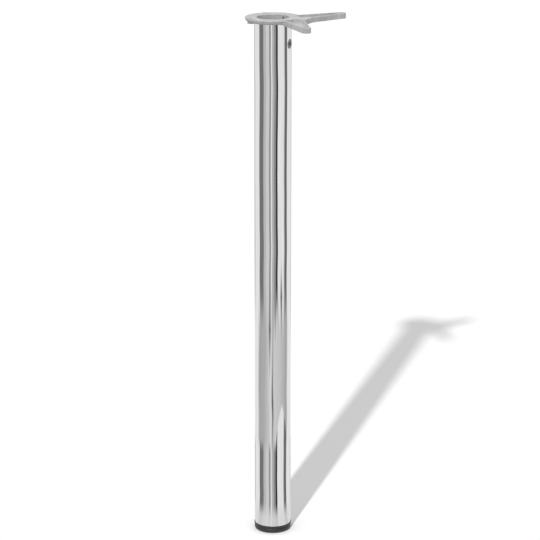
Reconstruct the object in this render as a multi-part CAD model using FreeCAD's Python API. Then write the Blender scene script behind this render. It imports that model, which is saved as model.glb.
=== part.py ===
"""Height adjustable table leg: a chromed steel tube that a cast corner plate holds under a table top,
with a black screw foot that levels it. Millimetres, +Z up, origin on the floor at the middle of the foot.
The two arms of the plate fan out to either side of +X, and the clamp screw lies along +X."""

import FreeCAD, Part
import math
import os

os.makedirs("parts", exist_ok=True)

# Whole leg
leg_height = 870.0            # floor to table, with the foot screwed right in
foot_travel = 20.0            # how far the foot screws out

# Leg tube
tube_diameter = 60.0
tube_wall = 1.2

# Corner plate
plate_thickness = 8.7         # at the arms
ring_step = 0.4               # the ring lies this far below the arms' table face
ring_thickness = 6.8
ring_overhang = 15.0          # ring beyond the tube
ring_round = 5.4              # the two tapers that round the ring's lower outer edge
arm_root_radius = 10.0        # in the corners where the arms leave the ring's flat underside
bore_chamfer = 0.9
arm_tip_x = 87.5              # middle of the round arm tip, which is also the screw hole
arm_tip_y = 76.0
arm_tip_radius = 7.3
arm_outer_angle = 45.0        # outer edge, along the side of the table corner
arm_inner_angle = 59.2        # inner edge, so that the arm tapers to its tip
web_corner_radius = 8.0       # where the arms leave the web between them
step_setback = 6.0            # the arms' table face starts this far inside the ring's edge
plate_edge_chamfer = 0.8
tray_rim = 2.4                # wall left round the tray in the top of each arm
tray_depth = 4.3
tray_web = 11.0               # half the solid web between the two trays
tray_root_width = 6.4         # straight end of each tray along the web's outer edge
tray_end = 9.5                # solid metal back from the middle of the tip
tray_corner_radius = 2.0

# Wood screw holes
screw_hole_diameter = 6.0
countersink_diameter = 11.0
ring_hole_angle = 135.0       # the two holes in the ring, from the clamp screw
boss_diameter = 13.0
boss_gap = 0.5                # between the tube and the boss round a ring hole

# Spigot
spigot_length = 52.0
spigot_clearance = 0.2
spigot_wall = 2.6
slit_width = 3.0
slit_angle = 74.0
slit_rise = 3.0               # the slits run this far up into the ring
pad_depth = 8.0               # metal behind the keyway that carries the screw thread
pad_side = 3.0                # pad beyond the keyway on each side and above

# Clamp screw, with a 90 degree countersunk head
screw_depth = 42.0            # screw axis below the table face
screw_diameter = 8.0
screw_length = 16.0
screw_sink = 0.5              # head below the outside of the tube
screw_chamfer = 1.0
screw_socket = 5.0            # across flats
screw_socket_depth = 3.2
dimple_diameter = 17.0
dimple_hole_diameter = 9.0
dimple_lip = 0.6              # the hole's rim behind the countersink
seat_clearance = 0.08
keyway_clearance = 0.3
thread_clearance = 0.05       # the threads are plain cylinders with this much room

# End plug
flange_height = 4.5
flange_overhang = 0.9         # beyond the tube, at the top
flange_taper = 0.7            # drawn in from top to bottom
flange_low_chamfer = 0.6
skirt_height = 30.0
skirt_clearance = 0.35
skirt_wall = 2.2
crush_rib_count = 12
crush_rib_width = 2.0
crush_clearance = 0.1
plug_web_count = 6
plug_web_thickness = 2.0
plug_web_height = 12.0
boss_wall = 3.0
boss_roof = 4.0

# Nut
nut_flats = 17.0
nut_height = 8.0
nut_clearance = 0.1
nut_recess = 0.3              # below the underside of the plug

# Foot
disc_height = 7.5
disc_overhang = 0.35          # beyond the tube
disc_top_chamfer = 0.8
disc_foot_chamfer = 2.0
relief_inner_diameter = 20.0
relief_outer_diameter = 46.0
relief_depth = 1.4
spindle_diameter = 10.0
spindle_spare = 4.0           # thread left above the nut with the foot screwed right out
spindle_chamfer = 1.0
head_diameter = 24.0
head_height = 2.5
head_floor = 2.6              # disc below the spindle's head
head_clearance = 0.05
neck_clearance = 0.3

# Places that follow
tube_radius = tube_diameter / 2
tube_inner_radius = tube_radius - tube_wall
tube_bottom = disc_height + flange_height
plate_bottom = leg_height - plate_thickness
ring_top = leg_height - ring_step
ring_bottom = ring_top - ring_thickness
ring_radius = tube_radius + ring_overhang
step_radius = ring_radius - step_setback
arm_outer = math.radians(arm_outer_angle)
arm_inner = math.radians(arm_inner_angle)
tray_inset = arm_tip_radius - tray_rim
tray_tip_x = arm_tip_x + tray_inset * math.sin(arm_inner)
tray_tip_y = arm_tip_y - tray_inset * math.cos(arm_inner)
tray_root_x = tray_tip_x - (tray_tip_y - tray_web - tray_root_width) / math.tan(arm_inner)
web_reach = tray_root_x + tray_rim
boss_radius = boss_diameter / 2
ring_hole_radius = tube_radius + boss_gap + boss_radius
spigot_radius = tube_inner_radius - spigot_clearance
spigot_bottom = ring_bottom - spigot_length
bore_radius = spigot_radius - spigot_wall
disc_radius = tube_radius + disc_overhang
screw_height = leg_height - screw_depth
screw_radius = screw_diameter / 2
dimple_radius = dimple_diameter / 2
dimple_hole_radius = dimple_hole_diameter / 2
dimple_floor = tube_radius - (dimple_radius - dimple_hole_radius)
dimple_back = dimple_floor - dimple_lip
keyway_floor = dimple_back - keyway_clearance
keyway_half = dimple_radius + tube_wall * math.sqrt(2) - (tube_radius - spigot_radius) + keyway_clearance
nut_bottom = disc_height + nut_recess
nut_top = nut_bottom + nut_height
spindle_top = nut_top + foot_travel + spindle_spare

up = FreeCAD.Vector(0, 0, 1)
outward = FreeCAD.Vector(1, 0, 0)
centre = FreeCAD.Vector(0, 0, 0)


def upright(radius, low, high, x=0.0, y=0.0):
    """A round solid along Z."""
    return Part.makeCylinder(radius, high - low, FreeCAD.Vector(x, y, low), up)


def along_screw(radius, near, far):
    """A round solid along the clamp screw's axis, between two distances from the tube's axis."""
    return Part.makeCylinder(radius, far - near, FreeCAD.Vector(near, 0, screw_height), outward)


def cone_along_screw(near_radius, far_radius, near, far):
    """A cone along the clamp screw's axis."""
    place = FreeCAD.Vector(near, 0, screw_height)
    return Part.makeCone(near_radius, far_radius, far - near, place, outward)


def block(x_range, y_range, z_range):
    """A box between pairs of limits."""
    size = [high - low for low, high in (x_range, y_range, z_range)]
    return Part.makeBox(*size, FreeCAD.Vector(x_range[0], y_range[0], z_range[0]))


def hexagon(flats, low, high):
    """A hexagonal prism along Z."""
    corner = flats / math.sqrt(3)
    turns = [math.radians(60 * step) for step in range(7)]
    points = [FreeCAD.Vector(corner * math.cos(turn), corner * math.sin(turn), low) for turn in turns]
    return Part.Face(Part.makePolygon(points)).extrude(up * (high - low))


def turned(corners):
    """A solid of revolution about Z from the (x, z) corners of its half profile."""
    points = [FreeCAD.Vector(x, 0, z) for x, z in corners]
    return Part.Face(Part.makePolygon(points + points[:1])).revolve(centre, up, 360)


def edges_at(shape, height):
    """The edges of a shape that lie level at one height."""
    return [edge for edge in shape.Edges
            if abs(edge.BoundBox.ZMin - height) < 1e-4 and abs(edge.BoundBox.ZMax - height) < 1e-4]


def leg_tube():
    """Chromed steel tube, with the countersunk dimple that is pressed in for the clamp screw."""
    outside = upright(tube_radius, tube_bottom, ring_bottom)
    wall = outside.cut(upright(tube_inner_radius, tube_bottom, ring_bottom))
    back_near = dimple_radius + tube_wall * math.sqrt(2) - (tube_radius - dimple_back)
    back_far = dimple_radius + tube_wall * math.sqrt(2)
    pressed = cone_along_screw(back_near, back_far, dimple_back, tube_radius).common(outside)
    sink_far = tube_radius + tube_wall
    sink = cone_along_screw(dimple_hole_radius, dimple_radius + tube_wall, dimple_floor, sink_far)
    hole = along_screw(dimple_hole_radius, dimple_back - tube_wall, tube_radius)
    return wall.fuse(pressed).cut(sink).cut(hole).removeSplitter()


def clamp_screw():
    """Countersunk socket screw. Its cone bears on the dimple and draws the tube against the spigot."""
    head_far = tube_radius - screw_sink
    head_radius = dimple_radius - screw_sink - seat_clearance
    head_near = head_far - (head_radius - screw_radius)
    head = cone_along_screw(screw_radius, head_radius, head_near, head_far)
    shank = along_screw(screw_radius, head_far - screw_length, head_near)
    tip = head_far - screw_length
    point = cone_along_screw(screw_radius - screw_chamfer, screw_radius, tip, tip + screw_chamfer)
    shank = shank.cut(along_screw(screw_radius, tip, tip + screw_chamfer)).fuse(point)
    socket = hexagon(screw_socket, 0, screw_socket_depth)
    socket.rotate(centre, FreeCAD.Vector(0, 1, 0), 90)
    socket.translate(FreeCAD.Vector(head_far - screw_socket_depth, 0, screw_height))
    return head.fuse(shank).removeSplitter().cut(socket)


def arm_outline():
    """Both arms and the web between them as one outline, made of straight edges and tangent arcs."""
    middle = (arm_outer + arm_inner) / 2
    tip = FreeCAD.Vector(arm_tip_x, arm_tip_y, plate_bottom)
    along_outer = FreeCAD.Vector(math.cos(arm_outer), math.sin(arm_outer), 0)
    along_inner = FreeCAD.Vector(math.cos(arm_inner), math.sin(arm_inner), 0)

    def from_tip(x, y):
        return tip + FreeCAD.Vector(x, y, 0) * arm_tip_radius

    outer_tangent = from_tip(-along_outer.y, along_outer.x)
    tip_end = from_tip(math.cos(middle), math.sin(middle))
    inner_tangent = from_tip(along_inner.y, -along_inner.x)
    outer_root = outer_tangent - along_outer * ((outer_tangent.y - tray_web) / along_outer.y)
    corner = inner_tangent - along_inner * ((inner_tangent.x - web_reach) / along_inner.x)
    half_turn = (math.pi / 2 - arm_inner) / 2
    run = web_corner_radius * math.tan(half_turn)
    on_arm = corner + along_inner * run
    on_web = corner - FreeCAD.Vector(0, run, 0)
    between = on_web + FreeCAD.Vector(1 - math.cos(half_turn), math.sin(half_turn), 0) * web_corner_radius

    def mirrored(point):
        return FreeCAD.Vector(point.x, -point.y, point.z)

    half = [
        Part.makeLine(outer_root, outer_tangent),
        Part.Arc(outer_tangent, tip_end, inner_tangent).toShape(),
        Part.makeLine(inner_tangent, on_arm),
        Part.Arc(on_arm, between, on_web).toShape(),
    ]
    other_half = [edge.mirror(centre, FreeCAD.Vector(0, 1, 0)) for edge in half]
    across = [Part.makeLine(on_web, mirrored(on_web)), Part.makeLine(mirrored(outer_root), outer_root)]
    return Part.Face(Part.Wire(Part.__sortEdges__(half + other_half + across)))


def arm_tray(side):
    """The open tray that lightens one arm from above, on the +Y or -Y side."""
    floor = leg_height - tray_depth
    along_outer = FreeCAD.Vector(math.cos(arm_outer), math.sin(arm_outer), 0)
    along_inner = FreeCAD.Vector(math.cos(arm_inner), math.sin(arm_inner), 0)
    tip = FreeCAD.Vector(arm_tip_x, arm_tip_y, floor)
    on_outer = tip + FreeCAD.Vector(-along_outer.y, along_outer.x, 0) * tray_inset
    on_inner = FreeCAD.Vector(tray_tip_x, tray_tip_y, floor)
    outer_root = on_outer - along_outer * ((on_outer.y - tray_web) / along_outer.y)
    outer_end = on_outer - along_outer * tray_end
    inner_end = on_inner - along_inner * tray_end
    web_end = FreeCAD.Vector(tray_root_x, tray_web + tray_root_width, floor)
    web_root = FreeCAD.Vector(tray_root_x, tray_web, floor)
    outline = Part.makePolygon([outer_root, outer_end, inner_end, web_end, web_root, outer_root])
    tray = Part.Face(outline).extrude(up * tray_depth)
    tray = tray.cut(upright(step_radius + tray_rim, floor, leg_height))
    corners = [edge for edge in tray.Edges if edge.BoundBox.ZLength > edge.Length - 1e-6]
    tray = tray.makeFillet(tray_corner_radius, corners)
    if side < 0:
        tray = tray.mirror(centre, FreeCAD.Vector(0, 1, 0))
    return tray


def screw_hole(x, y, low, high):
    """A wood screw hole, countersunk from below because the screw goes up into the table."""
    radius = screw_hole_diameter / 2
    sink = countersink_diameter / 2
    hole = upright(radius, low, high, x, y)
    cone = Part.makeCone(sink, radius, sink - radius, FreeCAD.Vector(x, y, low), up)
    return hole.fuse(cone)


def rounded_ring():
    """The ring as a turned disc. Two tapers round its lower outer edge, and a chamfer breaks its upper one."""
    root_radius = ring_radius - ring_round
    taper_radius = root_radius + ring_round * math.sin(math.pi / 4)
    taper_height = ring_bottom + ring_round * (1 - math.cos(math.pi / 4))
    return turned([
        (0, ring_bottom),
        (root_radius, ring_bottom),
        (taper_radius, taper_height),
        (ring_radius, ring_bottom + ring_round),
        (ring_radius, ring_top - plate_edge_chamfer),
        (ring_radius - plate_edge_chamfer, ring_top),
        (0, ring_top),
    ])


def plate_slab():
    """The flat of the casting: the rounded ring, and the deeper arms that stand a step above it."""
    root_radius = ring_radius - ring_round
    outline = arm_outline()
    arms = outline.extrude(up * plate_thickness)
    arms = arms.makeChamfer(plate_edge_chamfer, edges_at(arms, leg_height))
    arms = arms.cut(upright(step_radius, ring_top, leg_height))
    arms = arms.cut(upright(root_radius, plate_bottom, ring_bottom))
    outline.translate(up * (ring_bottom - plate_bottom))
    roots = outline.extrude(up * ring_thickness).fuse(upright(root_radius, ring_bottom, ring_top))
    roots = roots.removeSplitter()
    corners = [edge for edge in roots.Edges
               if edge.BoundBox.ZLength > edge.Length - 1e-6 and edge.CenterOfMass.x > 0
               and abs(math.hypot(edge.CenterOfMass.x, edge.CenterOfMass.y) - root_radius) < 1e-3]
    roots = roots.makeFillet(arm_root_radius, corners)
    roots = roots.makeChamfer(plate_edge_chamfer, edges_at(roots, ring_top))
    return rounded_ring().fuse(roots).fuse(arms)


def spigot():
    """The round spigot inside the tube, with the thick pad that carries the clamp screw, and its slits."""
    sleeve = upright(spigot_radius, spigot_bottom, ring_bottom)
    core = upright(bore_radius, spigot_bottom, ring_bottom)
    pad_half = keyway_half + pad_side
    pad_top = screw_height + keyway_half + pad_side
    pad_inner = keyway_floor - pad_depth
    profile = Part.makePolygon([
        FreeCAD.Vector(pad_inner, -pad_half, spigot_bottom),
        FreeCAD.Vector(tube_inner_radius, -pad_half, spigot_bottom),
        FreeCAD.Vector(tube_inner_radius, -pad_half, pad_top + tube_inner_radius - pad_inner),
        FreeCAD.Vector(pad_inner, -pad_half, pad_top),
        FreeCAD.Vector(pad_inner, -pad_half, spigot_bottom),
    ])
    pad = Part.Face(profile).extrude(FreeCAD.Vector(0, 2 * pad_half, 0)).common(sleeve)
    body = sleeve.cut(core).fuse(pad)
    keyway = block((keyway_floor, tube_radius), (-keyway_half, keyway_half), (spigot_bottom, screw_height))
    keyway = keyway.fuse(along_screw(keyway_half, keyway_floor, tube_radius))
    body = body.cut(keyway).cut(along_screw(screw_radius + thread_clearance, 0, tube_radius))
    slits = []
    for side in (1, -1):
        slit = block((bore_radius / 2, tube_radius), (-slit_width / 2, slit_width / 2),
                     (spigot_bottom, ring_bottom + slit_rise))
        slit.rotate(centre, up, side * slit_angle)
        slits.append(slit)
    return body, slits


def mounting_plate():
    """The whole die casting."""
    plate = plate_slab().cut(upright(bore_radius, ring_bottom, ring_top))
    chamfer = Part.makeCone(bore_radius, bore_radius + bore_chamfer, bore_chamfer,
                            FreeCAD.Vector(0, 0, ring_top - bore_chamfer), up)
    body, slits = spigot()
    plate = plate.cut(chamfer).fuse(body).cut(slits)
    turn = math.radians(ring_hole_angle)
    for side in (1, -1):
        x = ring_hole_radius * math.cos(turn)
        y = side * ring_hole_radius * math.sin(turn)
        plate = plate.fuse(upright(boss_radius, plate_bottom, ring_bottom, x, y))
        plate = plate.cut(screw_hole(x, y, plate_bottom, ring_top))
        plate = plate.cut(screw_hole(arm_tip_x, side * arm_tip_y, plate_bottom, leg_height))
        plate = plate.cut(arm_tray(side))
    return plate.removeSplitter()


def end_plug():
    """Black moulded plug: flange, skirt with crush ribs, and a webbed boss that holds the nut."""
    low = disc_height
    skirt_radius = tube_inner_radius - skirt_clearance
    skirt_top = tube_bottom + skirt_height
    flange_radius = tube_radius + flange_overhang
    flange = turned([
        (0, low),
        (flange_radius - flange_taper - flange_low_chamfer, low),
        (flange_radius - flange_taper, low + flange_low_chamfer),
        (flange_radius, tube_bottom),
        (0, tube_bottom),
    ])
    skirt = upright(skirt_radius, tube_bottom, skirt_top)
    skirt = skirt.cut(upright(skirt_radius - skirt_wall, tube_bottom, skirt_top))
    roof = nut_top + boss_roof
    nut_boss_radius = nut_flats / math.sqrt(3) + boss_wall
    plug = flange.fuse(skirt).fuse(upright(nut_boss_radius, tube_bottom, roof))
    for index in range(plug_web_count):
        web = block((nut_boss_radius - boss_wall, skirt_radius - skirt_wall / 2),
                    (-plug_web_thickness / 2, plug_web_thickness / 2),
                    (tube_bottom, tube_bottom + plug_web_height))
        web.rotate(centre, up, 360 / plug_web_count * index)
        plug = plug.fuse(web)
    rib_root = skirt_radius - skirt_wall / 2
    rib_crest = FreeCAD.Vector(tube_inner_radius - crush_clearance, 0, tube_bottom)
    rib_foot = [FreeCAD.Vector(rib_root, side * crush_rib_width / 2, tube_bottom) for side in (-1, 1)]
    rib_outline = Part.makePolygon([rib_crest, rib_foot[1], rib_foot[0], rib_crest])
    for index in range(crush_rib_count):
        rib = Part.Face(rib_outline).extrude(up * (skirt_height - skirt_wall))
        rib.rotate(centre, up, 360 / crush_rib_count * (index + 0.5))
        plug = plug.fuse(rib)
    pocket = hexagon(nut_flats + 2 * nut_clearance, low, nut_top)
    bore = upright(spindle_diameter / 2 + neck_clearance, low, roof)
    return plug.cut(pocket).cut(bore).removeSplitter()


def plug_nut():
    """Steel hexagon nut, pushed up into the plug from below so that the load seats it."""
    thread_hole = upright(spindle_diameter / 2 + thread_clearance, nut_bottom, nut_top)
    return hexagon(nut_flats, nut_bottom, nut_top).cut(thread_hole)


def foot_spindle():
    """Threaded steel rod with a flat round head."""
    radius = spindle_diameter / 2
    return turned([
        (0, head_floor),
        (head_diameter / 2, head_floor),
        (head_diameter / 2, head_floor + head_height),
        (radius, head_floor + head_height),
        (radius, spindle_top - spindle_chamfer),
        (radius - spindle_chamfer, spindle_top),
        (0, spindle_top),
    ])


def foot_disc():
    """Black moulded foot, hollow below between a rim and a middle pad, moulded round the spindle's head."""
    rim_inner = relief_outer_diameter / 2
    pad_radius = relief_inner_diameter / 2
    disc = turned([
        (0, 0),
        (pad_radius, 0),
        (pad_radius, relief_depth),
        (rim_inner, relief_depth),
        (rim_inner, 0),
        (disc_radius - disc_foot_chamfer, 0),
        (disc_radius, disc_foot_chamfer),
        (disc_radius, disc_height - disc_top_chamfer),
        (disc_radius - disc_top_chamfer, disc_height),
        (0, disc_height),
    ])
    head = upright(head_diameter / 2 + head_clearance, head_floor, head_floor + head_height + head_clearance)
    neck = upright(spindle_diameter / 2 + neck_clearance, head_floor, disc_height)
    return disc.cut(head).cut(neck)


pieces = {
    "mounting_plate": mounting_plate,
    "leg_tube": leg_tube,
    "clamp_screw": clamp_screw,
    "end_plug": end_plug,
    "plug_nut": plug_nut,
    "foot_spindle": foot_spindle,
    "foot_disc": foot_disc,
}

for name, make in pieces.items():
    shape = make()
    shape.exportStep("parts/" + name + ".step")
    print(name, shape.isValid(), len(shape.Solids), round(shape.Volume))
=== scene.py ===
"""Looks of a height adjustable table leg: a chromed tube under a die-cast corner plate, with a black screw
foot. It follows the leg as it is put together: plate, tube, clamp screw, end plug, nut, spindle and foot."""

import math

import bmesh
import bpy
from mathutils import Matrix, Vector


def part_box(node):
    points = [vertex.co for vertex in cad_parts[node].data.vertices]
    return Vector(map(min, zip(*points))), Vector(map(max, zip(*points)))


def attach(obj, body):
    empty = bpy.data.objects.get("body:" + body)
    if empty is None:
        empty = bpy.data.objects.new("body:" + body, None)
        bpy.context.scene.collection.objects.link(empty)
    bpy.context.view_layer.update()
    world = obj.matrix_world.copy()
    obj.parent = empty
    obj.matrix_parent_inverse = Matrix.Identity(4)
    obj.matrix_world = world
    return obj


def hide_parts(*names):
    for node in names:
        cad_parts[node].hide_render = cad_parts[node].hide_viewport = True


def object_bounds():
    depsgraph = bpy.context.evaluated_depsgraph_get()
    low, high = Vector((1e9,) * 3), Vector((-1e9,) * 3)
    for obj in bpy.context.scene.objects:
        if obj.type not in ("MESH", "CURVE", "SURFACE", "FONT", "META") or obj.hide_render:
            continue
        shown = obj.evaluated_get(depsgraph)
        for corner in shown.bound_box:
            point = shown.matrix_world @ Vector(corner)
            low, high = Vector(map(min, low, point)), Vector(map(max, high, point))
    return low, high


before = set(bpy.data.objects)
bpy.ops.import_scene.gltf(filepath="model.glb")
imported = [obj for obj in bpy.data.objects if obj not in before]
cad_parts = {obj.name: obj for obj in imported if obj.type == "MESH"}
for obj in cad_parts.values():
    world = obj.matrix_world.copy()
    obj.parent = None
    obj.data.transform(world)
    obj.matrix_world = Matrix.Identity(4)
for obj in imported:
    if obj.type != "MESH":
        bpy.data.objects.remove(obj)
cad_low, cad_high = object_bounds()

# Mounting plate
# One aluminium die casting: a ring with a spigot below it, and two arms with open trays. It is tumbled and
# left bare. Wood screws hold it under the table top.
mm = 0.001


def linear(colour):
    """An sRGB hex colour as linear RGBA."""
    parts = [int(colour[start:start + 2], 16) / 255 for start in (1, 3, 5)]
    return [part / 12.92 if part < 0.04045 else ((part + 0.055) / 1.055) ** 2.4 for part in parts] + [1.0]


def add_node(tree, kind, inputs=None, **settings):
    """Add a node with its settings. Each input takes a value, or the socket that feeds it."""
    node = tree.nodes.new(kind)
    for name, value in settings.items():
        setattr(node, name, value)
    for name, value in (inputs or {}).items():
        if isinstance(value, bpy.types.NodeSocket):
            tree.links.new(value, node.inputs[name])
        else:
            node.inputs[name].default_value = value
    return node


def new_finish(name):
    """A material with an empty tree."""
    material = bpy.data.materials.new(name)
    material.use_nodes = True
    material.node_tree.nodes.clear()
    return material


# Tumbled die-cast aluminium: a soft grey sheen with a fine pebbled skin and faint cloudy flow marks. The skin
# is drawn about three times as coarse as the real one, so that it shows.
casting = new_finish("tumbled_die_cast_aluminium")
tree = casting.node_tree
place = add_node(tree, "ShaderNodeTexCoord").outputs["Object"]
skin_grain = 1.2 * mm
pebble_height = 0.05 * mm
flow_mark = 14 * mm
noise_low = 0.3
noise_high = 0.7
skin = add_node(tree, "ShaderNodeTexNoise", {"Vector": place, "Scale": 1 / skin_grain, "Detail": 3.0})
flow = add_node(tree, "ShaderNodeTexNoise", {"Vector": place, "Scale": 1 / flow_mark, "Detail": 4.0})
tone = add_node(tree, "ShaderNodeValToRGB", {"Fac": flow.outputs["Fac"]})
tone.color_ramp.elements[0].position = noise_low
tone.color_ramp.elements[0].color = linear("#B4B4B4")
tone.color_ramp.elements[1].position = noise_high
tone.color_ramp.elements[1].color = linear("#C6C6C6")
dull = add_node(tree, "ShaderNodeMapRange", {
    "Value": skin.outputs["Fac"], "From Min": noise_low, "From Max": noise_high,
    "To Min": 0.8, "To Max": 0.92})
pebble = add_node(tree, "ShaderNodeBump", {
    "Height": skin.outputs["Fac"], "Strength": 0.25, "Distance": pebble_height})
shader = add_node(tree, "ShaderNodeBsdfPrincipled", {
    "Base Color": tone.outputs["Color"], "Metallic": 1.0, "Roughness": dull.outputs["Result"],
    "Normal": pebble.outputs["Normal"]})
add_node(tree, "ShaderNodeOutputMaterial", {"Surface": shader.outputs["BSDF"]})

sharp_angle = math.radians(30)
flat_angle = math.radians(0.3)
seam_gap = 0.002 * mm
smallest_face = 1.2 * mm ** 2


def softened(node, name):
    """A CAD node's mesh as one joined skin, with the edges between its larger faces marked for rounding."""
    build = bmesh.new()
    build.from_mesh(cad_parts[node].data)
    bmesh.ops.remove_doubles(build, verts=build.verts, dist=seam_gap)
    bmesh.ops.dissolve_limit(build, angle_limit=flat_angle, verts=build.verts, edges=build.edges)
    bmesh.ops.connect_verts_concave(build, faces=build.faces)
    weight = build.edges.layers.float.new("bevel_weight_edge")
    for edge in build.edges:
        roomy = all(face.calc_area() > smallest_face for face in edge.link_faces)
        edge[weight] = 1.0 if roomy and edge.calc_face_angle(0) > sharp_angle else 0.0
    mesh = bpy.data.meshes.new(name)
    build.to_mesh(mesh)
    build.free()
    if "custom_normal" in mesh.attributes:
        mesh.attributes.remove(mesh.attributes["custom_normal"])
    mesh.shade_smooth()
    mesh.set_sharp_from_angle(angle=sharp_angle)
    return mesh


def fit_piece(mesh, finish, body, node):
    """Show a mesh in the place of a CAD node, on the body that carries it."""
    piece = bpy.data.objects.new(mesh.name, mesh)
    bpy.context.collection.objects.link(piece)
    mesh.materials.clear()
    mesh.materials.append(finish)
    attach(piece, body)
    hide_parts(node)
    return piece


corner_gap = 0.01 * mm


def round_edges(piece, rounding):
    """Round a piece's marked edges, and shade its flat faces flat right up to them."""
    edges = piece.modifiers.new("rounded_edges", "BEVEL")
    edges.limit_method = "WEIGHT"
    edges.width = rounding
    edges.segments = 2
    edges.use_clamp_overlap = False
    piece.modifiers.new("joined_corners", "WELD").merge_threshold = corner_gap
    piece.modifiers.new("even_shade", "WEIGHTED_NORMAL").keep_sharp = True


plate_rounding = 0.4 * mm
cast_mesh = softened("mounting_plate", "plate_casting")
plate = fit_piece(cast_mesh, casting, "leg", "mounting_plate")
round_edges(plate, plate_rounding)

# Leg tube
# Welded steel tube, 60 mm across with a 1.2 mm wall, polished and chrome plated outside and bare inside. A
# countersunk dimple is pressed in near the top, and both ends are cut square and deburred.
tube_low, tube_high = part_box("leg_tube")
screw_low, screw_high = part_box("clamp_screw")
tube_radius = tube_high.x
tube_wall = 1.2 * mm
screw_height = (screw_low.z + screw_high.z) / 2
dimple_radius = 8.5 * mm
dimple_hole = 4.5 * mm
dimple_rim = 1.4 * mm
patch_half = 12 * mm
patch_step = 0.35 * mm
plain_columns = 208
deburr = 0.3 * mm


def pressed(y, z):
    """Distance of the tube's outside from its axis plane near the dimple, with a rounded rim."""
    reach = math.hypot(y, z - screw_height)
    barrel = math.sqrt(tube_radius ** 2 - y ** 2)
    cone = tube_radius - dimple_radius + max(reach, dimple_hole)
    near = max(dimple_rim - abs(barrel - cone), 0) / dimple_rim
    return min(barrel, cone) - near ** 2 * dimple_rim / 4


patch_turn = patch_half / tube_radius
patch_columns = round(2 * patch_half / patch_step)
turns = [-patch_turn + 2 * patch_turn * column / patch_columns for column in range(patch_columns)]
rest_turn = 2 * math.pi - 2 * patch_turn
turns += [patch_turn + rest_turn * column / plain_columns for column in range(plain_columns)]
patch_rows = round(2 * patch_half / patch_step)
heights = [tube_low.z, tube_low.z + deburr, tube_low.z + 2 * deburr]
heights += [screw_height - patch_half + 2 * patch_half * row / patch_rows for row in range(patch_rows + 1)]
heights += [tube_high.z - 2 * deburr, tube_high.z - deburr, tube_high.z]

tube_mesh = bpy.data.meshes.new("leg_tube_shell")
build = bmesh.new()
rings = []
for height in heights:
    drawn_in = deburr if height in (tube_low.z, tube_high.z) else 0
    ring = []
    for turn in turns:
        x = (tube_radius - drawn_in) * math.cos(turn)
        y = (tube_radius - drawn_in) * math.sin(turn)
        if abs(turn) < patch_turn and abs(height - screw_height) < patch_half:
            x = pressed(y, height)
        ring.append(build.verts.new((x, y, height)))
    rings.append(ring)
for lower, upper in zip(rings, rings[1:]):
    for column, corner in enumerate(lower):
        after = (column + 1) % len(turns)
        build.faces.new((corner, lower[after], upper[after], upper[column]))
in_hole = []
for face in build.faces:
    middle = face.calc_center_median()
    if middle.x > 0 and math.hypot(middle.y, middle.z - screw_height) < dimple_hole:
        in_hole.append(face)
bmesh.ops.delete(build, geom=in_hole, context="FACES")
for face in build.faces:
    face.smooth = True
build.to_mesh(tube_mesh)
build.free()
tube = bpy.data.objects.new("leg_tube_shell", tube_mesh)
bpy.context.collection.objects.link(tube)
shell = tube.modifiers.new("wall", "SOLIDIFY")
shell.thickness = tube_wall
shell.offset = -1
shell.material_offset = 1

# Bright chrome: a clear neutral mirror, with the long faint lines of the polishing belt. The lines are drawn
# wider than the real ones, so that they show.
chrome = new_finish("bright_chrome_plate")
tree = chrome.node_tree
place = add_node(tree, "ShaderNodeTexCoord").outputs["Object"]
belt_line = 1.5 * mm
belt_run = 160 * mm
stretched = add_node(tree, "ShaderNodeMapping", {
    "Vector": place, "Scale": (1 / belt_line, 1 / belt_line, 1 / belt_run)})
lines = add_node(tree, "ShaderNodeTexNoise", {
    "Vector": stretched.outputs["Vector"], "Scale": 1.0, "Detail": 2.0})
haze = add_node(tree, "ShaderNodeMapRange", {
    "Value": lines.outputs["Fac"], "From Min": noise_low, "From Max": noise_high,
    "To Min": 0.03, "To Max": 0.07})
shader = add_node(tree, "ShaderNodeBsdfPrincipled", {
    "Base Color": linear("#E5E5E6"), "Metallic": 1.0, "Roughness": haze.outputs["Result"]})
add_node(tree, "ShaderNodeOutputMaterial", {"Surface": shader.outputs["BSDF"]})

# Bare drawn steel inside the tube: dark grey, oily and uneven.
bare_steel = new_finish("bare_drawn_steel")
tree = bare_steel.node_tree
place = add_node(tree, "ShaderNodeTexCoord").outputs["Object"]
oil_patch = 25 * mm
oil = add_node(tree, "ShaderNodeTexNoise", {"Vector": place, "Scale": 1 / oil_patch, "Detail": 3.0})
tone = add_node(tree, "ShaderNodeValToRGB", {"Fac": oil.outputs["Fac"]})
tone.color_ramp.elements[0].color = linear("#6E6C69")
tone.color_ramp.elements[1].color = linear("#9A9997")
shader = add_node(tree, "ShaderNodeBsdfPrincipled", {
    "Base Color": tone.outputs["Color"], "Metallic": 1.0, "Roughness": 0.5})
add_node(tree, "ShaderNodeOutputMaterial", {"Surface": shader.outputs["BSDF"]})
tube_mesh.materials.append(chrome)
tube_mesh.materials.append(bare_steel)
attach(tube, "leg")
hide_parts("leg_tube")

# Clamp screw
# Countersunk socket screw, M8, cold headed from steel with a rolled thread and zinc plated. Its cone draws
# the dimple against the spigot.


def rounded(corners, steps=4):
    """Rows (radius, height) in metres from corners (radius, height, rounding) in millimetres."""
    rows = []
    for place, (radius, height, rounding) in enumerate(corners):
        here = Vector((radius, height))
        if rounding == 0:
            rows.append(tuple(here * mm))
            continue
        start = here + (Vector(corners[place - 1][:2]) - here).normalized() * rounding
        stop = here + (Vector(corners[place + 1][:2]) - here).normalized() * rounding
        for step in range(steps + 1):
            share = step / steps
            row = (1 - share) ** 2 * start + 2 * share * (1 - share) * here + share ** 2 * stop
            rows.append(tuple(row * mm))
    return rows


turned_gap = 0.0005 * mm


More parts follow.
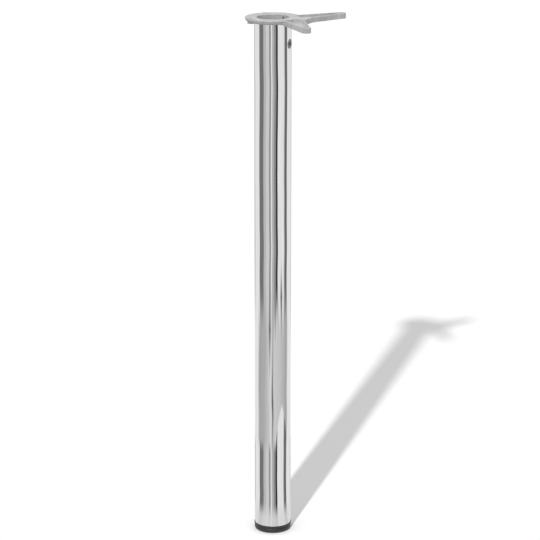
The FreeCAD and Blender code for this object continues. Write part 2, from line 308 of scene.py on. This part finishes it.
def turned_mesh(name, rows, columns=96):
    """A mesh turned about Z. A row's radius and height are numbers, or functions of the turn."""
    build = bmesh.new()
    rings = []
    for radius, height in rows:
        ring = []
        for column in range(columns if radius else 1):
            turn = 2 * math.pi * column / columns
            reach = radius(turn) if callable(radius) else radius
            level = height(turn) if callable(height) else height
            ring.append(build.verts.new((reach * math.cos(turn), reach * math.sin(turn), level)))
        rings.append(ring)
    for lower, upper in zip(rings, rings[1:]):
        for column in range(columns):
            corners = [ring[place % columns % len(ring)] for ring, place in (
                (lower, column), (lower, column + 1), (upper, column + 1), (upper, column))]
            build.faces.new(list(dict.fromkeys(corners)))
    bmesh.ops.remove_doubles(build, verts=build.verts, dist=turned_gap)
    bmesh.ops.recalc_face_normals(build, faces=build.faces)
    mesh = bpy.data.meshes.new(name)
    build.to_mesh(mesh)
    build.free()
    mesh.shade_smooth()
    mesh.set_sharp_from_angle(angle=sharp_angle)
    return mesh


# The thread is a grid that Geometry Nodes wrap round the shank along the helix, so that each row of the grid
# stays on one flank. Its first and last rows close the ends. Flats of a quarter and an eighth of the pitch
# lie at its root and its crest, as on any metric thread.
thread_rows = 8
thread_columns = 48
closing_rows = 3
root_share = 0.25
crest_share = 0.125
depth_share = 0.613
thread_sharp_angle = math.radians(40)
thread_gap = 0.001 * mm
grid_half = 0.5
inner_half = 0.49999
thread_tree = bpy.data.node_groups.new("rolled_thread", "GeometryNodeTree")
thread_tree.interface.new_socket("Geometry", in_out="OUTPUT", socket_type="NodeSocketGeometry")
thread_sockets = {}
for name, kind in (("Radius", "Float"), ("Pitch", "Float"), ("Depth", "Float"), ("Length", "Float"),
                   ("Point", "Float"), ("Rows", "Int"), ("Columns", "Int"), ("Finish", "Material")):
    socket = thread_tree.interface.new_socket(name, in_out="INPUT", socket_type="NodeSocket" + kind)
    thread_sockets[name] = socket.identifier
tree = thread_tree
asked = add_node(tree, "NodeGroupInput").outputs
grid = add_node(tree, "GeometryNodeMeshGrid", {
    "Size X": 2 * grid_half, "Size Y": 2 * grid_half,
    "Vertices X": asked["Columns"], "Vertices Y": asked["Rows"]})
spot = add_node(tree, "GeometryNodeInputPosition").outputs["Position"]
spot = add_node(tree, "ShaderNodeSeparateXYZ", {"Vector": spot}).outputs
around = add_node(tree, "ShaderNodeMath", {0: spot["X"], 1: grid_half}, operation="ADD").outputs[0]
along = add_node(tree, "ShaderNodeMath", {0: spot["Y"], 1: grid_half}, operation="ADD").outputs[0]
last_row = add_node(tree, "ShaderNodeMath", {0: asked["Rows"], 1: 1.0}, operation="SUBTRACT").outputs[0]
row = add_node(tree, "ShaderNodeMath", {0: along, 1: last_row}, operation="MULTIPLY").outputs[0]
row = add_node(tree, "ShaderNodeMath", {0: row, 1: thread_rows}, operation="DIVIDE").outputs[0]
row = add_node(tree, "ShaderNodeMath", {0: row, 1: around}, operation="ADD").outputs[0]
row = add_node(tree, "ShaderNodeMath", {0: row, 1: 1.0}, operation="SUBTRACT").outputs[0]
climb = add_node(tree, "ShaderNodeMath", {0: row, 1: asked["Pitch"]}, operation="MULTIPLY").outputs[0]
level = add_node(tree, "ShaderNodeClamp", {"Value": climb, "Min": 0.0, "Max": asked["Length"]}).outputs[0]
phase = add_node(tree, "ShaderNodeMath", {0: level, 1: asked["Pitch"]}, operation="DIVIDE").outputs[0]
phase = add_node(tree, "ShaderNodeMath", {0: phase, 1: around}, operation="SUBTRACT").outputs[0]
phase = add_node(tree, "ShaderNodeMath", {0: phase}, operation="FRACT").outputs[0]
ridge = add_node(tree, "ShaderNodeMath", {0: phase, 1: 2.0, 2: -1.0}, operation="MULTIPLY_ADD").outputs[0]
ridge = add_node(tree, "ShaderNodeMath", {0: ridge}, operation="ABSOLUTE").outputs[0]
core = add_node(tree, "ShaderNodeMath", {0: asked["Radius"], 1: asked["Depth"]}, operation="SUBTRACT")
flank = add_node(tree, "ShaderNodeMapRange", {
    "Value": ridge, "From Min": root_share, "From Max": 1 - crest_share,
    "To Min": core.outputs[0], "To Max": asked["Radius"]}).outputs["Result"]
taper = add_node(tree, "ShaderNodeMath", {0: asked["Length"], 1: level}, operation="SUBTRACT").outputs[0]
taper = add_node(tree, "ShaderNodeMath", {0: taper, 1: asked["Radius"]}, operation="ADD").outputs[0]
taper = add_node(tree, "ShaderNodeMath", {0: taper, 1: asked["Point"]}, operation="SUBTRACT").outputs[0]
reach = add_node(tree, "ShaderNodeMath", {0: flank, 1: taper}, operation="MINIMUM").outputs[0]
inside = add_node(tree, "ShaderNodeMath", {0: spot["Y"]}, operation="ABSOLUTE").outputs[0]
inside = add_node(tree, "ShaderNodeMath", {0: inside, 1: inner_half}, operation="LESS_THAN").outputs[0]
reach = add_node(tree, "ShaderNodeMath", {0: reach, 1: inside}, operation="MULTIPLY").outputs[0]
angle = add_node(tree, "ShaderNodeMath", {0: around, 1: 2 * math.pi}, operation="MULTIPLY").outputs[0]
cosine = add_node(tree, "ShaderNodeMath", {0: angle}, operation="COSINE").outputs[0]
sine = add_node(tree, "ShaderNodeMath", {0: angle}, operation="SINE").outputs[0]
wrapped = add_node(tree, "ShaderNodeCombineXYZ", {
    "X": add_node(tree, "ShaderNodeMath", {0: reach, 1: cosine}, operation="MULTIPLY").outputs[0],
    "Y": add_node(tree, "ShaderNodeMath", {0: reach, 1: sine}, operation="MULTIPLY").outputs[0],
    "Z": level})
skin = add_node(tree, "GeometryNodeSetPosition", {
    "Geometry": grid.outputs["Mesh"], "Position": wrapped.outputs["Vector"]}).outputs["Geometry"]
skin = add_node(tree, "GeometryNodeMergeByDistance", {"Geometry": skin, "Distance": thread_gap}).outputs[0]
skin = add_node(tree, "GeometryNodeRealizeInstances", {"Geometry": skin}).outputs["Geometry"]
skin = add_node(tree, "GeometryNodeSetMaterial", {"Geometry": skin, "Material": asked["Finish"]})
add_node(tree, "NodeGroupOutput", {"Geometry": skin.outputs["Geometry"]})


def rolled_thread(radius, pitch, length, point, finish):
    """A threaded rod from the origin up Z, with a chamfered top."""
    rod = bpy.data.objects.new("thread_blank", bpy.data.meshes.new("thread_blank"))
    bpy.context.collection.objects.link(rod)
    nodes = rod.modifiers.new("thread", "NODES")
    nodes.node_group = thread_tree
    rows = thread_rows * (math.ceil(length / pitch) + 1) + closing_rows
    depth = depth_share * pitch
    columns = thread_columns + 1
    for name, value in (("Radius", radius), ("Pitch", pitch), ("Depth", depth), ("Length", length),
                        ("Point", point), ("Rows", rows), ("Columns", columns), ("Finish", finish)):
        nodes[thread_sockets[name]] = value
    bpy.context.view_layer.update()
    mesh = bpy.data.meshes.new_from_object(rod.evaluated_get(bpy.context.evaluated_depsgraph_get()))
    bpy.data.objects.remove(rod)
    mesh.shade_smooth()
    mesh.set_sharp_from_angle(angle=thread_sharp_angle)
    return mesh


def joined(name, meshes):
    """Several meshes as one, with any small gap closed."""
    build = bmesh.new()
    for mesh in meshes:
        build.from_mesh(mesh)
    bmesh.ops.holes_fill(build, edges=build.edges, sides=4)
    whole = bpy.data.meshes.new(name)
    build.to_mesh(whole)
    build.free()
    return whole


def hexagon(flats):
    """Distance of a hexagon's edge from its middle, as a function of the turn."""
    return lambda turn: flats / 2 / math.cos((turn + math.pi / 6) % (math.pi / 3) - math.pi / 6)


# Zinc plate drawn a dark middle grey as painted shade, standing for the shade in the dimple's hollow where
# the screw head sits. It has darker patches at random, and mirrors its surroundings softly.
shade_darkened_zinc = new_finish("shade_darkened_zinc_plated_steel")
tree = shade_darkened_zinc.node_tree
place = add_node(tree, "ShaderNodeTexCoord").outputs["Object"]
zinc_patch = 2.5 * mm
patch = add_node(tree, "ShaderNodeTexNoise", {"Vector": place, "Scale": 1 / zinc_patch, "Detail": 3.0})
tone = add_node(tree, "ShaderNodeValToRGB", {"Fac": patch.outputs["Fac"]})
# The dark greys of this ramp are painted shade of the screw's recess.
tone.color_ramp.elements[0].color = linear("#575858")
tone.color_ramp.elements[1].color = linear("#7A7B78")
dull = add_node(tree, "ShaderNodeMapRange", {
    "Value": patch.outputs["Fac"], "From Min": noise_low, "From Max": noise_high,
    "To Min": 0.2, "To Max": 0.3})
shader = add_node(tree, "ShaderNodeBsdfPrincipled", {
    "Base Color": tone.outputs["Color"], "Metallic": 1.0, "Roughness": dull.outputs["Result"]})
add_node(tree, "ShaderNodeOutputMaterial", {"Surface": shader.outputs["BSDF"]})

screw_face = screw_high.x
head_radius = (screw_high.z - screw_low.z) / 2
shank_radius = 4 * mm
head_depth = head_radius - shank_radius
socket_flats = 5 * mm
socket_depth = 3.2 * mm
socket_point = 0.8 * mm
socket_break = 0.35 * mm
rim_round = 0.35 * mm
socket_edge = hexagon(socket_flats)
screw_head = turned_mesh("screw_head", [
    (0, -socket_depth - socket_point),
    (socket_edge, -socket_depth),
    (socket_edge, -socket_break),
    (lambda turn: socket_flats / math.sqrt(3) + socket_break, 0),
    (head_radius - 2.2 * rim_round, 0),
    (head_radius - 0.7 * rim_round, -0.2 * rim_round),
    (head_radius - 0.2 * rim_round, -0.9 * rim_round),
    (head_radius - 1.2 * rim_round, -2.2 * rim_round),
    (shank_radius, -head_depth),
    (0, -head_depth),
])
screw_pitch = 1.25 * mm
screw_point = 1.0 * mm
thread_room = 0.02 * mm
shank_overlap = 0.2 * mm
shank_start = head_depth - shank_overlap
shank_length = screw_face - screw_low.x - shank_start
shank = rolled_thread(shank_radius - thread_room, screw_pitch, shank_length, screw_point, shade_darkened_zinc)
shank.transform(Matrix.Translation((0, 0, -shank_start)) @ Matrix.Rotation(math.pi, 4, "X"))
screw_mesh = joined("clamp_screw_steel", (screw_head, shank))
screw_mesh.transform(Matrix.Translation((screw_face, 0, screw_height)) @ Matrix.Rotation(math.pi / 2, 4, "Y"))
# The screw's dark grey finish is painted shade.
screw = fit_piece(screw_mesh, shade_darkened_zinc, "clamp", "clamp_screw")
screw.modifiers.new("even_shade", "WEIGHTED_NORMAL").keep_sharp = True

# End plug
# Moulded in black polypropylene, with crush ribs round its skirt and a pocket for the nut. It is pushed into
# the tube until its flange meets the cut end, and the ribs hold it there.

# Moulded polypropylene: black with a satin sheen and a fine grain from the mould. The grain is drawn several
# times as coarse as the real one, so that it shows.
plastic = new_finish("moulded_black_polypropylene")
tree = plastic.node_tree
place = add_node(tree, "ShaderNodeTexCoord").outputs["Object"]
mould_grain = 0.8 * mm
mould_grain_height = 0.04 * mm
grain = add_node(tree, "ShaderNodeTexNoise", {"Vector": place, "Scale": 1 / mould_grain, "Detail": 2.0})
tone = add_node(tree, "ShaderNodeValToRGB", {"Fac": grain.outputs["Fac"]})
tone.color_ramp.elements[0].color = linear("#1B1B1C")
tone.color_ramp.elements[1].color = linear("#262627")
dull = add_node(tree, "ShaderNodeMapRange", {
    "Value": grain.outputs["Fac"], "From Min": noise_low, "From Max": noise_high,
    "To Min": 0.4, "To Max": 0.52})
texture = add_node(tree, "ShaderNodeBump", {
    "Height": grain.outputs["Fac"], "Strength": 0.2, "Distance": mould_grain_height})
shader = add_node(tree, "ShaderNodeBsdfPrincipled", {
    "Base Color": tone.outputs["Color"], "Roughness": dull.outputs["Result"], "IOR": 1.49,
    "Normal": texture.outputs["Normal"]})
add_node(tree, "ShaderNodeOutputMaterial", {"Surface": shader.outputs["BSDF"]})
plug_rounding = 0.3 * mm
plug_mesh = softened("end_plug", "end_plug_moulding")
plug = fit_piece(plug_mesh, plastic, "leg", "end_plug")
round_edges(plug, plug_rounding)

# Nut
# Plain M10 hexagon nut of zinc plated steel, cold formed and bevelled at its corners. The pocket in the plug
# keeps it from turning.

# Bright zinc plate: a cool silver with a faint yellow bloom, satin rather than mirror bright.
zinc = new_finish("bright_zinc_plated_steel")
tree = zinc.node_tree
place = add_node(tree, "ShaderNodeTexCoord").outputs["Object"]
bloom = 4 * mm
patina = add_node(tree, "ShaderNodeTexNoise", {"Vector": place, "Scale": 1 / bloom, "Detail": 3.0})
tone = add_node(tree, "ShaderNodeValToRGB", {"Fac": patina.outputs["Fac"]})
tone.color_ramp.elements[0].color = linear("#A9ABAA")
tone.color_ramp.elements[1].color = linear("#C9C9C2")
dull = add_node(tree, "ShaderNodeMapRange", {
    "Value": patina.outputs["Fac"], "From Min": noise_low, "From Max": noise_high,
    "To Min": 0.24, "To Max": 0.36})
shader = add_node(tree, "ShaderNodeBsdfPrincipled", {
    "Base Color": tone.outputs["Color"], "Metallic": 1.0, "Roughness": dull.outputs["Result"]})
add_node(tree, "ShaderNodeOutputMaterial", {"Surface": shader.outputs["BSDF"]})
nut_low, nut_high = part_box("plug_nut")
nut_flats = nut_high.y - nut_low.y
nut_edge = hexagon(nut_flats)
nut_hole = 5.05 * mm
nut_sink = 0.6 * mm
nut_face_share = 0.97
nut_face = nut_flats / 2 * nut_face_share
corner_bevel = math.radians(30)
corner_fall = math.tan(corner_bevel)
nut_mesh = turned_mesh("plug_nut_steel", [
    (nut_hole + nut_sink, nut_low.z),
    (nut_face, nut_low.z),
    (nut_edge, lambda turn: nut_low.z + (nut_edge(turn) - nut_face) * corner_fall),
    (nut_edge, lambda turn: nut_high.z - (nut_edge(turn) - nut_face) * corner_fall),
    (nut_face, nut_high.z),
    (nut_hole + nut_sink, nut_high.z),
    (nut_hole, nut_high.z - nut_sink),
    (nut_hole, nut_low.z + nut_sink),
    (nut_hole + nut_sink, nut_low.z),
])
fit_piece(nut_mesh, zinc, "leg", "plug_nut")

# Foot spindle
# M10 rod with a rolled thread and a flat cold formed head, which the foot is moulded round. It is zinc
# plated, and turning the foot screws it in and out of the nut.
spindle_low, spindle_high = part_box("foot_spindle")
spindle_radius = 4.98 * mm
spindle_pitch = 1.5 * mm
spindle_point = 1.0 * mm
flat_head_radius = 12
flat_head_rounding = 0.4
flat_head_floor = spindle_low.z / mm
flat_head_top = flat_head_floor + 2.5
spindle_head = turned_mesh("spindle_head", rounded([
    (0, flat_head_floor, 0),
    (flat_head_radius, flat_head_floor, flat_head_rounding),
    (flat_head_radius, flat_head_top, flat_head_rounding),
    (0, flat_head_top, 0),
]))
rod_overlap = 0.1
rod_start = (flat_head_top - rod_overlap) * mm
rod = rolled_thread(spindle_radius, spindle_pitch, spindle_high.z - rod_start, spindle_point, zinc)
rod.transform(Matrix.Translation((0, 0, rod_start)))
fit_piece(joined("foot_spindle_steel", (spindle_head, rod)), zinc, "spindle", "foot_spindle")

# Foot
# Black disc, moulded in the same plastic as the plug round the spindle's head. A rim and a middle pad stand
# on the floor, and the outside is rounded above and below.
foot_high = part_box("foot_disc")[1]
foot_radius = foot_high.x / mm
foot_height = foot_high.z / mm
pad_radius = 10
rim_radius = 23
relief = 1.4
tread_rounding = 0.4
inner_rounding = 0.3
lower_bevel = 2.0
lower_rounding = 1.3
upper_bevel = 0.8
upper_rounding = 0.5
neck_radius = 5.3
pocket_radius = 12.05
pocket_floor = 2.6
pocket_top = 5.15
foot_columns = 144
foot_mesh = turned_mesh("foot_moulding", rounded([
    (0, 0, 0),
    (pad_radius, 0, tread_rounding),
    (pad_radius, relief, inner_rounding),
    (rim_radius, relief, inner_rounding),
    (rim_radius, 0, tread_rounding),
    (foot_radius - lower_bevel, 0, lower_rounding),
    (foot_radius, lower_bevel, lower_rounding),
    (foot_radius, foot_height - upper_bevel, upper_rounding),
    (foot_radius - upper_bevel, foot_height, upper_rounding),
    (neck_radius, foot_height, inner_rounding),
    (neck_radius, pocket_top, 0),
    (pocket_radius, pocket_top, 0),
    (pocket_radius, pocket_floor, 0),
    (0, pocket_floor, 0),
]), foot_columns)
foot = fit_piece(foot_mesh, plastic, "foot", "foot_disc")
foot.modifiers.new("even_shade", "WEIGHTED_NORMAL").keep_sharp = True

# Studio
# White paper floor and even white surroundings, one key lamp from the front left, and a striped wall that
# shows only where the metal mirrors it. The camera looks from the picture's side and height.
picture_pixels = 540
axis_column = 272.9
plate_row = 16.4
foot_row = 526.7
camera_turn = math.radians(22.5)
camera_away = 3.6
plate_fall = math.radians(9.4)
camera_rise = camera_away * math.tan(plate_fall)
foot_fall = math.atan2(cad_high.z + camera_rise, camera_away)
plate_share = (picture_pixels / 2 - plate_row) / (foot_row - plate_row)
tilt = plate_fall + (foot_fall - plate_fall) * plate_share
focal = (picture_pixels / 2 - plate_row) / math.tan(tilt - plate_fall)
yaw = math.atan((axis_column - picture_pixels / 2) / focal)
camera_data = bpy.data.cameras.new("camera")
camera_data.sensor_width = 36
camera_data.lens = focal * camera_data.sensor_width / picture_pixels
camera = bpy.data.objects.new("camera", camera_data)
toward_camera = Vector((math.sin(camera_turn), -math.cos(camera_turn), 0))
right_of_camera = Vector((math.cos(camera_turn), math.sin(camera_turn), 0))
camera.location = toward_camera * camera_away + Vector((0, 0, cad_high.z + camera_rise))
camera.rotation_euler = (math.pi / 2 - tilt, 0, camera_turn + yaw)
bpy.context.collection.objects.link(camera)
bpy.context.scene.camera = camera

fill_level = 0.632
world = bpy.data.worlds.new("white_studio")
bpy.context.scene.world = world
world.use_nodes = True
tree = world.node_tree
tree.nodes.clear()
ray = add_node(tree, "ShaderNodeLightPath")
seen = add_node(tree, "ShaderNodeMath", {0: ray.outputs["Is Camera Ray"], 1: ray.outputs["Is Glossy Ray"]},
                operation="MAXIMUM")
seen = add_node(tree, "ShaderNodeMath", {0: seen.outputs[0], 1: ray.outputs["Is Transmission Ray"]},
                operation="MAXIMUM")
level = add_node(tree, "ShaderNodeMath", {0: seen.outputs[0], 1: fill_level}, operation="MAXIMUM")
sky = add_node(tree, "ShaderNodeBackground", {"Color": linear("#FFFFFF"), "Strength": level.outputs[0]})
add_node(tree, "ShaderNodeOutputWorld", {"Surface": sky.outputs["Background"]})

# Matt white paper: it takes the shadow, and is open to a look and to light from below. It goes with the foot,
# which stands on it at every setting.
paper = new_finish("matt_white_paper")
tree = paper.node_tree
upper_side = add_node(tree, "ShaderNodeBsdfDiffuse", {"Color": linear("#FAFAFA")})
lower_side = add_node(tree, "ShaderNodeBsdfTransparent")
side = add_node(tree, "ShaderNodeNewGeometry").outputs["Backfacing"]
shader = add_node(tree, "ShaderNodeMixShader", {
    0: side, 1: upper_side.outputs["BSDF"], 2: lower_side.outputs["BSDF"]})
add_node(tree, "ShaderNodeOutputMaterial", {"Surface": shader.outputs["Shader"]})
floor_half = 20
floor_corners = [(-floor_half, -floor_half, 0), (floor_half, -floor_half, 0),
                 (floor_half, floor_half, 0), (-floor_half, floor_half, 0)]
floor_mesh = bpy.data.meshes.new("floor")
floor_mesh.from_pydata(floor_corners, [], [(0, 1, 2, 3)])
floor_mesh.materials.append(paper)
floor = bpy.data.objects.new("floor", floor_mesh)
bpy.context.collection.objects.link(floor)
floor.visible_diffuse = False
floor.visible_glossy = False
floor.visible_shadow = False
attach(floor, "foot")

key_turn = math.radians(15.5)
key_rise = math.radians(35.7)
key_data = bpy.data.lights.new("key", "SUN")
key_data.energy = 2.35
key_data.angle = math.radians(1.7)
key = bpy.data.objects.new("key", key_data)
key.rotation_euler = (math.pi / 2 - key_rise, 0, camera_turn - key_turn)
bpy.context.collection.objects.link(key)

# The striped wall stands all round the leg and lies on the floor about it. The stripes fade out at its ends.
wall_away = 0.2
wall_top = 0.9
wall_foot = 0.05
wall_lift = 1 * mm
fade_start = 0.165
fade_end = 0.085
fade_most = 0.82
top_fade = 0.05
wall_columns = 96


def mirrored_turn(share):
    """Turn from the camera at which the wall shows at this share of the tube's radius from its middle."""
    turn = math.asin(share)
    run = math.sqrt(wall_away ** 2 - (tube_radius * math.sin(turn)) ** 2) - tube_radius * math.cos(turn)
    across = tube_radius * math.sin(turn) + run * math.sin(2 * turn)
    ahead = tube_radius * math.cos(turn) + run * math.cos(2 * turn)
    return math.atan2(across, ahead)


def stand(turn, away, height):
    """A point of the stage at a turn from the camera, to its right."""
    level = toward_camera * math.cos(turn) + right_of_camera * math.sin(turn)
    return level * away + Vector((0, 0, height))


def paint(ramp, stripes):
    """Give a colour ramp over the whole turn its stripes, each with its turn and shade."""
    ramp.elements.remove(ramp.elements[1])
    ramp.elements[0].position = 0
    ramp.elements[0].color = linear("#FFFFFF")
    for turn, shade in stripes:
        ramp.elements.new(0.5 + turn / (2 * math.pi)).color = linear(shade)


# Wall cloth, as the tube mirrors it: upright stripes above and below, which sway a little, and between them a
# belt of soft grey. The upper stripes end raggedly over the belt, with dark needles among their ends, and a
# bright blade points up into the belt from below. Fine streaks run through it all.
belt_low = 0.078
belt_low_full = 0.106
belt_full = 0.30
belt_top = 0.37
blade_turn = mirrored_turn(0.5)
blade_half = 0.62
blade_rise = 0.085
blade_point = 0.45
blade_edge = 0.008
drift_height = 130 * mm
drift_turn = 0.1
streak_turn = 0.045
streak_height = 180 * mm
tail_turn = 1 / 6
tail_spread = 0.26
needle_core = 0.1
needles = (  # share of the tube's radius from its middle, height, half its turn, half its height
    (0.0, 0.172, 0.13, 0.11),
    (-0.17, 0.305, 0.16, 0.11),
    (0.46, 0.362, 0.17, 0.09),
)
wall_cloth = new_finish("striped_wall_cloth")
tree = wall_cloth.node_tree
place = add_node(tree, "ShaderNodeTexCoord").outputs["Object"]
across = add_node(tree, "ShaderNodeVectorMath", {0: place, 1: right_of_camera}, operation="DOT_PRODUCT")
ahead = add_node(tree, "ShaderNodeVectorMath", {0: place, 1: toward_camera}, operation="DOT_PRODUCT")
turn = add_node(tree, "ShaderNodeMath", {0: across.outputs["Value"], 1: ahead.outputs["Value"]},
                operation="ARCTAN2").outputs[0]
height = add_node(tree, "ShaderNodeSeparateXYZ", {"Vector": place}).outputs["Z"]
drift = add_node(tree, "ShaderNodeTexNoise", {"W": height, "Scale": 1 / drift_height, "Detail": 1.0},
                 noise_dimensions="1D")
sway = add_node(tree, "ShaderNodeMapRange", {
    "Value": drift.outputs["Fac"], "To Min": -drift_turn, "To Max": drift_turn})
swayed = add_node(tree, "ShaderNodeMath", {0: turn, 1: sway.outputs["Result"]}, operation="ADD").outputs[0]
spread = add_node(tree, "ShaderNodeMapRange", {"Value": swayed, "From Min": -math.pi, "From Max": math.pi})
stripes = add_node(tree, "ShaderNodeValToRGB", {"Fac": spread.outputs["Result"]})
stripes.color_ramp.interpolation = "CONSTANT"
paint(stripes.color_ramp, [
    (math.radians(-168), "#9A9A9A"), (math.radians(-158), "#FFFFFF"),
    (math.radians(-148), "#C4C4C4"), (math.radians(-136), "#FFFFFF"),
] + [(mirrored_turn(share), shade) for share, shade in (
    (-0.725, "#828282"), (-0.515, "#CDCDCD"), (-0.385, "#E4E4E4"), (-0.2, "#A6A6A6"), (-0.115, "#FFFFFF"),
    (-0.05, "#C6C6C6"), (0.06, "#9C9C9C"), (0.167, "#343434"), (0.25, "#FFFFFF"), (0.59, "#CCCCCC"),
    (0.63, "#747474"), (0.75, "#FFFFFF"))] + [
    (math.radians(140), "#B8B8B8"), (math.radians(149), "#FFFFFF"),
    (math.radians(160), "#8A8A8A"), (math.radians(166), "#FFFFFF"),
])
belt = add_node(tree, "ShaderNodeValToRGB", {"Fac": spread.outputs["Result"]})
paint(belt.color_ramp, [(mirrored_turn(share), shade) for share, shade in (
    (-0.80, "#FFFFFF"), (-0.74, "#BABABA"), (-0.45, "#C4C4C4"), (-0.25, "#DCDCDC"), (-0.12, "#F0F0F0"),
    (-0.06, "#EEEEEE"), (-0.03, "#BCBCBC"), (0.02, "#C4C4C4"), (0.06, "#E4E4E4"), (0.40, "#DADADA"),
    (0.62, "#C8C8C8"), (0.755, "#B4B4B4"), (0.80, "#FFFFFF"))])
tail = add_node(tree, "ShaderNodeTexNoise", {"W": turn, "Scale": 1 / tail_turn, "Detail": 1.0},
                noise_dimensions="1D")
hung = add_node(tree, "ShaderNodeMath", {0: tail.outputs["Fac"], 1: tail_spread, 2: height},
                operation="MULTIPLY_ADD")
hung = add_node(tree, "ShaderNodeMath", {0: hung.outputs[0], 1: tail_spread / 2}, operation="SUBTRACT")
above = add_node(tree, "ShaderNodeMapRange", {
    "Value": hung.outputs[0], "From Min": belt_top, "From Max": belt_full},
    interpolation_type="SMOOTHSTEP").outputs["Result"]
beside = add_node(tree, "ShaderNodeMath", {0: turn, 1: blade_turn}, operation="SUBTRACT").outputs[0]
beside = add_node(tree, "ShaderNodeMath", {0: beside}, operation="ABSOLUTE").outputs[0]
blade = add_node(tree, "ShaderNodeMapRange", {"Value": beside, "From Min": blade_half, "From Max": 0.0})
blade = add_node(tree, "ShaderNodeMath", {0: blade.outputs["Result"], 1: blade_point}, operation="POWER")
blade = add_node(tree, "ShaderNodeMath", {0: blade.outputs[0], 1: blade_rise}, operation="MULTIPLY")
lifted = add_node(tree, "ShaderNodeMath", {0: height, 1: blade.outputs[0]}, operation="SUBTRACT").outputs[0]
outside = add_node(tree, "ShaderNodeMapRange", {
    "Value": lifted, "From Min": belt_low, "From Max": belt_low + blade_edge}).outputs["Result"]
below = add_node(tree, "ShaderNodeMapRange", {
    "Value": height, "From Min": belt_low, "From Max": belt_low_full},
    interpolation_type="SMOOTHSTEP").outputs["Result"]
share = add_node(tree, "ShaderNodeMath", {0: below, 1: outside}, operation="MINIMUM").outputs[0]
share = add_node(tree, "ShaderNodeMath", {0: above, 1: share}, operation="MULTIPLY").outputs[0]
shade = add_node(tree, "ShaderNodeMix", {
    "Factor": share, 6: stripes.outputs["Color"], 7: belt.outputs["Color"]}, data_type="RGBA").outputs[2]
for needle_share, needle_height, half_turn, half_height in needles:
    needle_turn = mirrored_turn(needle_share)
    beside = add_node(tree, "ShaderNodeMath", {0: swayed, 1: needle_turn}, operation="SUBTRACT").outputs[0]
    beside = add_node(tree, "ShaderNodeMath", {0: beside}, operation="ABSOLUTE").outputs[0]
    beside = add_node(tree, "ShaderNodeMath", {0: beside, 1: half_turn}, operation="DIVIDE").outputs[0]
    along = add_node(tree, "ShaderNodeMath", {0: height, 1: needle_height}, operation="SUBTRACT").outputs[0]
    along = add_node(tree, "ShaderNodeMath", {0: along}, operation="ABSOLUTE").outputs[0]
    along = add_node(tree, "ShaderNodeMath", {0: along, 1: half_height}, operation="DIVIDE").outputs[0]
    reach = add_node(tree, "ShaderNodeMath", {0: beside, 1: along}, operation="ADD").outputs[0]
    dark = add_node(tree, "ShaderNodeMapRange", {"Value": reach, "From Min": 1.0, "From Max": needle_core})
    shade = add_node(tree, "ShaderNodeMix", {
        "Factor": dark.outputs["Result"], 6: shade, 7: linear("#5C5C5C")}, data_type="RGBA").outputs[2]
away = add_node(tree, "ShaderNodeVectorMath", {0: place}, operation="LENGTH").outputs["Value"]
lower_end = add_node(tree, "ShaderNodeMapRange", {
    "Value": away, "From Min": fade_start, "From Max": fade_end, "To Max": fade_most},
    interpolation_type="SMOOTHSTEP")
upper_end = add_node(tree, "ShaderNodeMapRange", {
    "Value": height, "From Min": wall_top - top_fade, "From Max": wall_top},
    interpolation_type="SMOOTHSTEP")
for end, pale in ((lower_end, "#F3F3F3"), (upper_end, "#FFFFFF")):
    shade = add_node(tree, "ShaderNodeMix", {
        "Factor": end.outputs["Result"], 6: shade, 7: linear(pale)}, data_type="RGBA").outputs[2]
streak_place = add_node(tree, "ShaderNodeCombineXYZ", {
    "X": add_node(tree, "ShaderNodeMath", {0: swayed, 1: streak_turn}, operation="DIVIDE").outputs[0],
    "Y": add_node(tree, "ShaderNodeMath", {0: height, 1: streak_height}, operation="DIVIDE").outputs[0]})
streak = add_node(tree, "ShaderNodeTexNoise", {
    "Vector": streak_place.outputs["Vector"], "Scale": 1.0, "Detail": 2.0}, noise_dimensions="2D")
shine = add_node(tree, "ShaderNodeMapRange", {
    "Value": streak.outputs["Fac"], "From Min": noise_low, "From Max": 0.65, "To Min": 0.88, "To Max": 1.0})
lit = add_node(tree, "ShaderNodeEmission", {"Color": shade, "Strength": shine.outputs["Result"]})
add_node(tree, "ShaderNodeOutputMaterial", {"Surface": lit.outputs["Emission"]})

wall_edges = ((wall_away, wall_top), (wall_away, wall_lift), (wall_foot, wall_lift))
points = []
faces = []
for column in range(wall_columns):
    points += [stand(2 * math.pi * column / wall_columns, *edge) for edge in wall_edges]
    first = column * len(wall_edges)
    after = (column + 1) % wall_columns * len(wall_edges)
    for row in range(len(wall_edges) - 1):
        faces.append((first + row, after + row, after + row + 1, first + row + 1))
wall_mesh = bpy.data.meshes.new("striped_wall")
wall_mesh.from_pydata(points, [], faces)
wall_mesh.materials.append(wall_cloth)
wall = bpy.data.objects.new("striped_wall", wall_mesh)
bpy.context.collection.objects.link(wall)
wall.visible_camera = False
wall.visible_diffuse = False
wall.visible_shadow = False
wall.visible_transmission = False

bpy.context.scene.view_settings.view_transform = "Standard"
